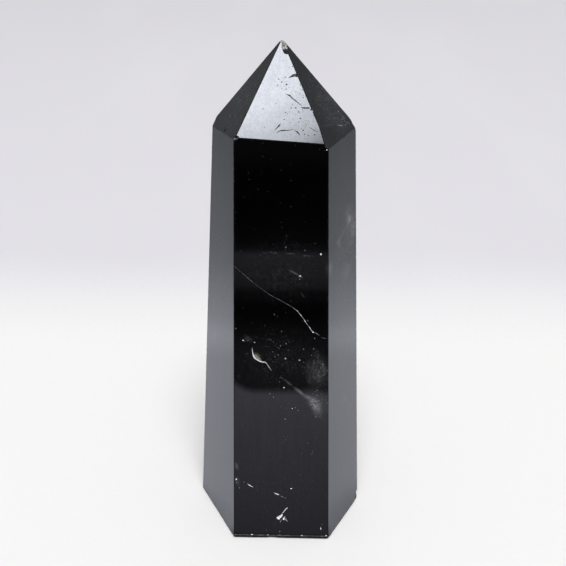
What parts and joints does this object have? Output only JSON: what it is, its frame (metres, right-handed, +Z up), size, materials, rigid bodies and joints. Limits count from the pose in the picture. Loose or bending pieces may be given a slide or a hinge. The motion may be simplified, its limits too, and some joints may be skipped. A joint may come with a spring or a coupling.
{
  "type": "morion quartz crystal",
  "caption": "Polished black six-sided quartz point that tapers slightly to a pyramid tip and stands upright on its flat sawn base.",
  "frame": {"origin": "middle of the base, on the surface that the crystal stands on", "axes": "+Z up along the crystal from the base to the tip, -Y out of the wide front side, +X to the right of that side"},
  "size_m": [0.0338, 0.0274, 0.0987],
  "materials": {
    "morion": "polished, opaque black smoky quartz with a glassy shine"
  },
  "bodies": {
    "root": {"crystal": "morion"}
  },
  "joints": []
}
